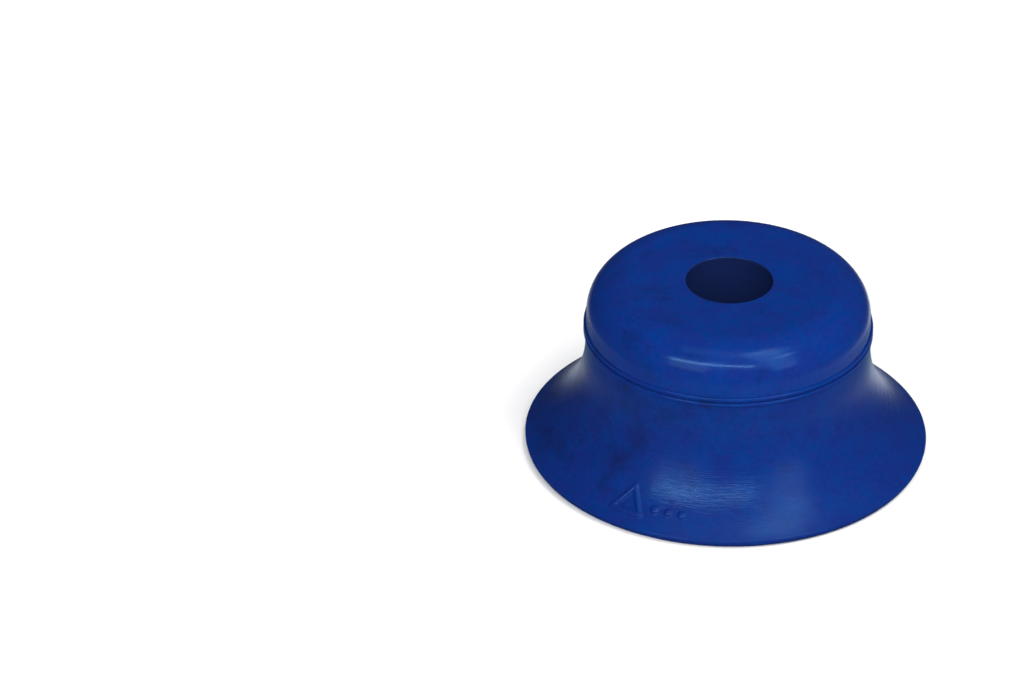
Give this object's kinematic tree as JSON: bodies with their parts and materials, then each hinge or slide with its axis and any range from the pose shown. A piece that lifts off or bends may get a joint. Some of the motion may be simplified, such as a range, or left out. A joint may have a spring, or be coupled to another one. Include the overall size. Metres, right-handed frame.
{
  "type": "vacuum suction cup",
  "caption": "Flat bell vacuum suction cup in blue elastomer: domed head with a through bore, deep round recess and a thin flared sealing lip that flexes.",
  "frame": {"origin": "centre of the sealing lip's lower edge, on the plane that the cup stands on", "axes": "+Z along the bore axis, from the lip up through the head; the raised mark is on the -Y side"},
  "size_m": [0.02, 0.02, 0.0094],
  "materials": {
    "blue_elastomer": "satin moulded rubber"
  },
  "bodies": {
    "head": {"head_dome": "blue_elastomer", "neck_collar": "blue_elastomer", "parting_bead": "blue_elastomer", "flex_skirt": "blue_elastomer"},
    "lip": {"sealing_lip": "blue_elastomer", "mould_mark": "blue_elastomer"}
  },
  "joints": [
    {"name": "lip_flex", "type": "slide", "parent": "head", "child": "lip", "axis": [0, 0, 1], "range_m": [0, 0.0019], "stiffness_N_per_m": 2000, "deforming": ["flex_skirt"]}
  ]
}
